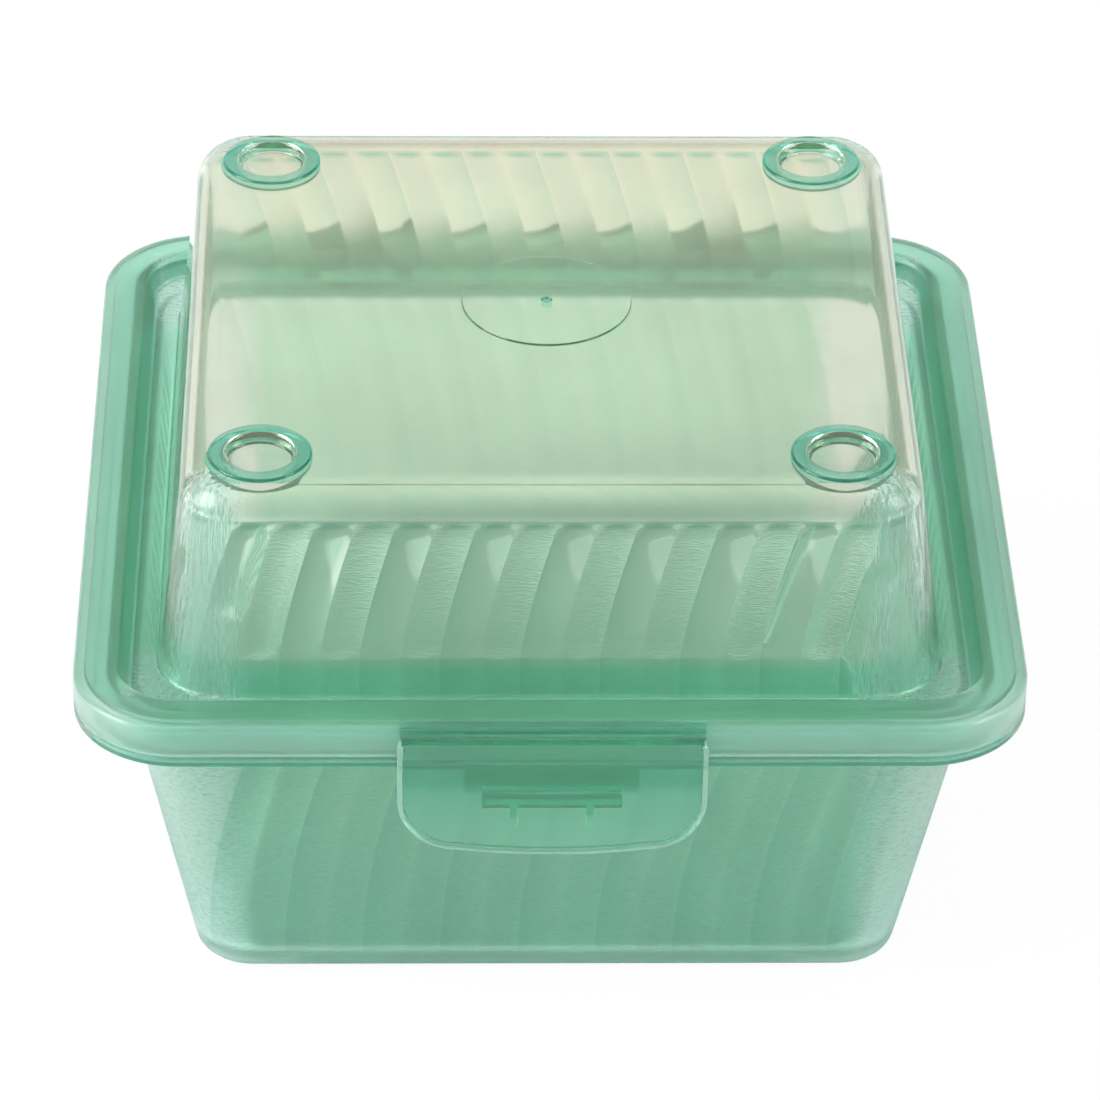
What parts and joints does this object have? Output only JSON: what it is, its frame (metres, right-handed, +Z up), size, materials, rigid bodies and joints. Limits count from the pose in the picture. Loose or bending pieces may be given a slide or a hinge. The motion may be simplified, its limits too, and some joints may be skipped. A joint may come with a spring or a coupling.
{
  "type": "snap lid food container",
  "caption": "Square clear green plastic food box: tapered tub, domed lid with stacking rings on a rear snap hinge, and a front finger latch tab.",
  "frame": {"origin": "middle of the flat bottom of the tub, on the surface it stands on", "axes": "+Z up, -Y towards the latch tab, +Y towards the hinge, X along the hinge"},
  "size_m": [0.124, 0.1334, 0.0767],
  "materials": {
    "tub_plastic": "translucent jade green, fine grain outside",
    "lid_plastic": "clear jade green, glossy",
    "tab_plastic": "milky jade green, satin"
  },
  "bodies": {
    "base": {"base_tub": "tub_plastic"},
    "lid": {"lid_cover": "lid_plastic"},
    "latch": {"latch_tab": "tab_plastic"}
  },
  "joints": [
    {"name": "lid_hinge", "type": "hinge", "parent": "base", "child": "lid", "pos_m": [0, 0.0657, 0.0436], "axis": [-1, 0, 0], "range_deg": [0, 180]},
    {"name": "latch_flex", "type": "hinge", "parent": "lid", "child": "latch", "pos_m": [0, -0.0624, 0.04915], "axis": [-1, 0, 0], "range_deg": [0, 90]}
  ]
}
